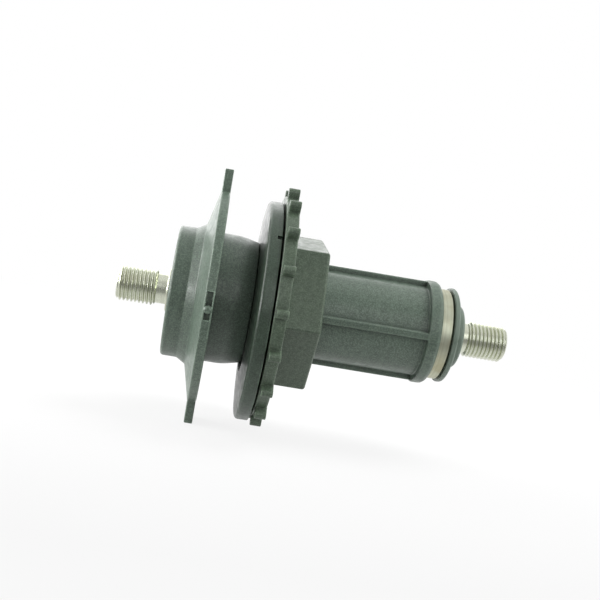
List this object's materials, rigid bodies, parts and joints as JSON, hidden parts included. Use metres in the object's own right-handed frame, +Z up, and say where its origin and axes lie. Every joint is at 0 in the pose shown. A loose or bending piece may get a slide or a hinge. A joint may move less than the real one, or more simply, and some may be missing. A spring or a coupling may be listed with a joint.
{
  "type": "axle hub",
  "caption": "Moulded axle hub with an eared flange, a lugged clamp nut and washer, a ribbed tube and a double-ended threaded axle on sealed ball bearings.",
  "frame": {"origin": "on the axle's line, in the plane of the flange's seating face", "axes": "+X along the axle from the flange to the ribbed tube's end, +Z up through one ear of the flange"},
  "size_m": [0.1514, 0.0926, 0.098],
  "materials": {
    "hub_plastic": "dark grey-green moulded plastic, fine matte grain",
    "washer_plastic": "dark grey-green moulded plastic, smoother than the hub",
    "nut_plastic": "dark grey-green moulded plastic with a textured grain",
    "axle_steel": "turned bright steel",
    "spacer_steel": "drawn steel tube",
    "shield_rubber": "black moulded rubber",
    "spring_steel": "dark oiled spring steel",
    "bearing_steel": "ground bearing steel",
    "ball_steel": "polished steel",
    "cage_steel": "pressed steel sheet",
    "seal_rubber": "black sealing rubber"
  },
  "bodies": {
    "hub": {"hub_body": "hub_plastic", "left_bearing_outer_ring": "bearing_steel", "left_bearing_seal_left": "seal_rubber", "left_bearing_seal_right": "seal_rubber", "right_bearing_outer_ring": "bearing_steel", "right_bearing_seal_left": "seal_rubber", "right_bearing_seal_right": "seal_rubber"},
    "axle": {"axle": "axle_steel", "spacer_sleeve": "spacer_steel", "dust_shield": "shield_rubber", "left_retaining_ring": "spring_steel", "right_retaining_ring": "spring_steel", "left_bearing_inner_ring": "bearing_steel", "right_bearing_inner_ring": "bearing_steel"},
    "left_cage": {"left_bearing_balls": "ball_steel", "left_bearing_cage_left": "cage_steel", "left_bearing_cage_right": "cage_steel"},
    "right_cage": {"right_bearing_balls": "ball_steel", "right_bearing_cage_left": "cage_steel", "right_bearing_cage_right": "cage_steel"},
    "washer": {"clamp_washer": "washer_plastic"},
    "nut": {"clamp_nut": "nut_plastic"}
  },
  "joints": [
    {"name": "axle_spin", "type": "hinge", "parent": "hub", "child": "axle", "pos_m": [0, 0, 0], "axis": [1, 0, 0], "continuous": true},
    {"name": "left_cage_orbit", "type": "hinge", "parent": "hub", "child": "left_cage", "pos_m": [-0.0113, 0, 0], "axis": [1, 0, 0], "continuous": true},
    {"name": "right_cage_orbit", "type": "hinge", "parent": "hub", "child": "right_cage", "pos_m": [0.086, 0, 0], "axis": [1, 0, 0], "continuous": true},
    {"name": "washer_slide", "type": "slide", "parent": "hub", "child": "washer", "axis": [1, 0, 0], "range_m": [0, 0.006]},
    {"name": "nut_turn", "type": "hinge", "parent": "washer", "child": "nut", "pos_m": [0.0302, 0, 0], "axis": [1, 0, 0], "range_deg": [0, 720]}
  ],
  "couplings": [
    {"joint": "left_cage_orbit", "follows": "axle_spin", "ratio": 0.42367},
    {"joint": "right_cage_orbit", "follows": "axle_spin", "ratio": 0.42367},
    {"joint": "washer_slide", "follows": "nut_turn", "m_per_rad": 0.00047746}
  ]
}
